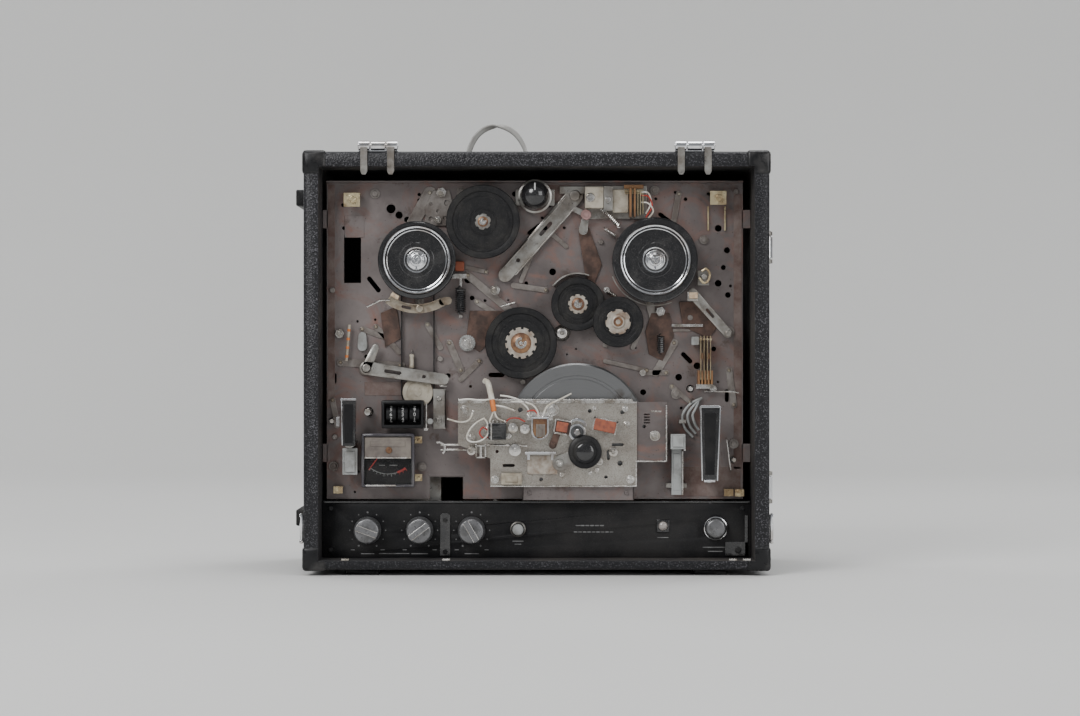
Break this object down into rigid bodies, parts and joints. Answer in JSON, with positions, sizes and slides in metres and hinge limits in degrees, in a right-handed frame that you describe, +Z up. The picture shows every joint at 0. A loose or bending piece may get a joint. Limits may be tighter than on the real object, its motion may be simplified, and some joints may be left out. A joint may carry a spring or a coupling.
{
  "type": "open-reel tape recorder",
  "caption": "Portable open-reel tape recorder with lid and face plate off: reel tables, flywheel, idlers, heads, meter, levers, knobs, side handle and mains lead.",
  "frame": {"origin": "on the floor, under the middle of the recorder without its mains lead", "axes": "+X to the right of someone who faces the mechanism, +Y towards the back, +Z up"},
  "size_m": [0.4187, 0.3046, 0.4065],
  "materials": {
    "leatherette": "black grained leatherette over board",
    "black_rubber": "black rubber, slightly polished by use",
    "black_paint": "gloss black",
    "dusty_steel": "plated steel, dusty and stained",
    "bright_steel": "nickel-plated steel with spots of corrosion",
    "chrome": "polished chrome",
    "flywheel_grey": "machined and painted grey",
    "aluminium": "spun aluminium",
    "brown_board": "brown paper-phenolic board",
    "copper_arm": "tarnished copper",
    "white_plastic": "aged cream plastic",
    "cord_grey": "light grey vinyl"
  },
  "bodies": {
    "case": {"case_top": "leatherette", "case_bottom": "leatherette", "case_left": "leatherette", "case_right": "leatherette", "case_back": "leatherette", "foot_rail_left": "black_rubber", "foot_rail_right": "black_rubber", "side_foot_upper": "black_rubber", "side_foot_lower": "black_rubber", "lid_hinge_left": "chrome", "lid_hinge_right": "chrome", "chassis_plate": "dusty_steel", "control_panel": "black_paint", "rear_panel": "black_paint", "power_transformer": "dusty_steel", "amplifier_board": "brown_board", "motor": "dusty_steel", "head_plate": "bright_steel", "erase_head": "black_paint", "record_play_head": "chrome", "meter_body": "white_plastic", "counter_body": "black_paint", "counter_belt": "black_rubber", "speed_switch": "white_plastic", "strain_relief": "black_rubber", "cord_run": "cord_grey", "cord_coil": "cord_grey", "mains_plug": "cord_grey"},
    "supply_table": {"supply_turntable": "black_paint"},
    "takeup_table": {"takeup_turntable": "black_paint"},
    "capstan": {"flywheel": "flywheel_grey"},
    "rotor": {"motor_rotor": "bright_steel"},
    "idler": {"capstan_idler": "black_rubber"},
    "first_wheel_body": {"first_wheel": "black_rubber"},
    "stepped_wheel_body": {"stepped_wheel": "black_rubber"},
    "rewind_wheel": {"rewind_idler": "black_rubber"},
    "pinch_lever": {"pinch_arm": "bright_steel"},
    "pinch_wheel": {"pinch_roller": "black_rubber"},
    "pressure_pad": {"pressure_pad_arm": "copper_arm"},
    "left_brake": {"left_brake_arm": "bright_steel"},
    "right_brake": {"right_brake_arm": "bright_steel"},
    "play_link": {"play_lever": "bright_steel"},
    "transport_control": {"transport_lever": "black_paint"},
    "record_control": {"record_lever": "black_paint"},
    "pause_control": {"pause_slider": "aluminium"},
    "speed_control": {"speed_selector": "black_paint"},
    "speed_shift": {"speed_shift_arm": "dusty_steel"},
    "tone_knob_body": {"tone_knob": "aluminium"},
    "volume_knob_body": {"volume_knob": "aluminium"},
    "balance_knob_body": {"balance_knob": "aluminium"},
    "power_switch": {"power_button": "aluminium"},
    "monitor_switch": {"monitor_button": "aluminium"},
    "needle": {"meter_needle": "black_paint"},
    "counter_drive": {"counter_pulley": "black_paint"},
    "drum_units": {"counter_drum_units": "black_paint"},
    "drum_tens": {"counter_drum_tens": "black_paint"},
    "drum_hundreds": {"counter_drum_hundreds": "black_paint"},
    "handle": {"carry_handle": "black_rubber"},
    "left_catch": {"lid_catch_left": "chrome"},
    "right_catch": {"lid_catch_right": "chrome"}
  },
  "joints": [
    {"name": "supply_spin", "type": "hinge", "parent": "case", "child": "supply_table", "pos_m": [-0.1035, -0.07, 0.2715], "axis": [0, 1, 0], "continuous": true},
    {"name": "takeup_spin", "type": "hinge", "parent": "case", "child": "takeup_table", "pos_m": [0.1025, -0.07, 0.2715], "axis": [0, 1, 0], "continuous": true},
    {"name": "capstan_spin", "type": "hinge", "parent": "case", "child": "capstan", "pos_m": [0.035, -0.07, 0.1227], "axis": [0, 1, 0], "continuous": true},
    {"name": "motor_spin", "type": "hinge", "parent": "case", "child": "rotor", "pos_m": [0.0221, -0.07, 0.2085], "axis": [0, 1, 0], "continuous": true},
    {"name": "capstan_idler_spin", "type": "hinge", "parent": "case", "child": "idler", "pos_m": [-0.0135, -0.07, 0.1998], "axis": [0, 1, 0], "continuous": true},
    {"name": "first_wheel_spin", "type": "hinge", "parent": "case", "child": "first_wheel_body", "pos_m": [0.036, -0.07, 0.2336], "axis": [0, 1, 0], "continuous": true},
    {"name": "stepped_wheel_spin", "type": "hinge", "parent": "case", "child": "stepped_wheel_body", "pos_m": [0.0705, -0.07, 0.218], "axis": [0, 1, 0], "continuous": true},
    {"name": "rewind_idler_spin", "type": "hinge", "parent": "case", "child": "rewind_wheel", "pos_m": [-0.0464, -0.07, 0.3047], "axis": [0, 1, 0], "continuous": true},
    {"name": "pinch_arm_swing", "type": "hinge", "parent": "case", "child": "pinch_lever", "pos_m": [0.02, -0.0864, 0.096], "axis": [0, 1, 0], "range_deg": [-1, 15]},
    {"name": "pinch_roller_spin", "type": "hinge", "parent": "pinch_lever", "child": "pinch_wheel", "pos_m": [0.0417, -0.093, 0.106], "axis": [0, 1, 0], "continuous": true},
    {"name": "pressure_pad_swing", "type": "hinge", "parent": "case", "child": "pressure_pad", "pos_m": [0.014, -0.094, 0.112], "axis": [0, 1, 0], "range_deg": [-8, 3]},
    {"name": "left_brake_swing", "type": "hinge", "parent": "case", "child": "left_brake", "pos_m": [-0.1035, -0.0735, 0.2302], "axis": [0, 1, 0], "range_deg": [-8, 0]},
    {"name": "right_brake_swing", "type": "hinge", "parent": "case", "child": "right_brake", "pos_m": [0.166, -0.0735, 0.208], "axis": [0, 1, 0], "range_deg": [0, 8]},
    {"name": "play_lever_swing", "type": "hinge", "parent": "case", "child": "play_link", "pos_m": [-0.148, -0.068, 0.178], "axis": [0, 1, 0], "range_deg": [-6, 6]},
    {"name": "transport_lever_swing", "type": "hinge", "parent": "case", "child": "transport_control", "pos_m": [0.149, -0.08, 0.084], "axis": [0, 1, 0], "range_deg": [-18, 18]},
    {"name": "record_lever_swing", "type": "hinge", "parent": "case", "child": "record_control", "pos_m": [-0.1615, -0.08, 0.114], "axis": [0, 1, 0], "range_deg": [-12, 0]},
    {"name": "pause_slide", "type": "slide", "parent": "case", "child": "pause_control", "axis": [0, 0, -1], "range_m": [0, 0.008]},
    {"name": "speed_selector_turn", "type": "hinge", "parent": "case", "child": "speed_control", "pos_m": [-0.0014, -0.08, 0.3275], "axis": [0, 1, 0], "range_deg": [-45, 45]},
    {"name": "speed_shift_swing", "type": "hinge", "parent": "case", "child": "speed_shift", "pos_m": [0.0334, -0.063, 0.3283], "axis": [0, 1, 0], "range_deg": [-3, 3]},
    {"name": "tone_knob_turn", "type": "hinge", "parent": "case", "child": "tone_knob_body", "pos_m": [-0.147, -0.075, 0.0369], "axis": [0, 1, 0], "range_deg": [-150, 150]},
    {"name": "volume_knob_turn", "type": "hinge", "parent": "case", "child": "volume_knob_body", "pos_m": [-0.1017, -0.075, 0.0369], "axis": [0, 1, 0], "range_deg": [-150, 150]},
    {"name": "balance_knob_turn", "type": "hinge", "parent": "case", "child": "balance_knob_body", "pos_m": [-0.0565, -0.075, 0.0369], "axis": [0, 1, 0], "range_deg": [-150, 150]},
    {"name": "power_button_push", "type": "slide", "parent": "case", "child": "power_switch", "axis": [0, 1, 0], "range_m": [0, 0.002], "stiffness_N_per_m": 300},
    {"name": "monitor_button_push", "type": "slide", "parent": "case", "child": "monitor_switch", "axis": [0, 1, 0], "range_m": [0, 0.002], "stiffness_N_per_m": 200},
    {"name": "needle_swing", "type": "hinge", "parent": "case", "child": "needle", "pos_m": [-0.1285, -0.077, 0.112], "axis": [0, -1, 0], "range_deg": [0, 76]},
    {"name": "counter_pulley_spin", "type": "hinge", "parent": "case", "child": "counter_drive", "pos_m": [-0.1035, -0.063, 0.157], "axis": [0, 1, 0], "continuous": true},
    {"name": "drum_units_spin", "type": "hinge", "parent": "case", "child": "drum_units", "pos_m": [-0.115, -0.076, 0.1382], "axis": [1, 0, 0], "continuous": true},
    {"name": "drum_tens_spin", "type": "hinge", "parent": "case", "child": "drum_tens", "pos_m": [-0.115, -0.076, 0.1382], "axis": [1, 0, 0], "continuous": true},
    {"name": "drum_hundreds_spin", "type": "hinge", "parent": "case", "child": "drum_hundreds", "pos_m": [-0.115, -0.076, 0.1382], "axis": [1, 0, 0], "continuous": true},
    {"name": "handle_swing", "type": "hinge", "parent": "case", "child": "handle", "pos_m": [0.205, -0.02, 0.1785], "axis": [0, 0, -1], "range_deg": [0, 95]},
    {"name": "left_catch_swing", "type": "hinge", "parent": "case", "child": "left_catch", "pos_m": [-0.20215, -0.086, 0.0289], "axis": [0, -1, 0], "range_deg": [0, 100]},
    {"name": "right_catch_swing", "type": "hinge", "parent": "case", "child": "right_catch", "pos_m": [0.20215, -0.086, 0.0289], "axis": [0, 1, 0], "range_deg": [0, 100]}
  ],
  "couplings": [
    {"joint": "motor_spin", "follows": "capstan_spin", "ratio": 11.92},
    {"joint": "capstan_idler_spin", "follows": "capstan_spin", "ratio": -1.9103},
    {"joint": "first_wheel_spin", "follows": "capstan_spin", "ratio": -2.5579},
    {"joint": "stepped_wheel_spin", "follows": "capstan_spin", "ratio": 4.1678},
    {"joint": "counter_pulley_spin", "follows": "supply_spin", "ratio": 1},
    {"joint": "drum_units_spin", "follows": "supply_spin", "ratio": 1},
    {"joint": "drum_tens_spin", "follows": "supply_spin", "ratio": 0.1},
    {"joint": "drum_hundreds_spin", "follows": "supply_spin", "ratio": 0.01},
    {"joint": "speed_shift_swing", "follows": "speed_selector_turn", "ratio": 0.06}
  ]
}
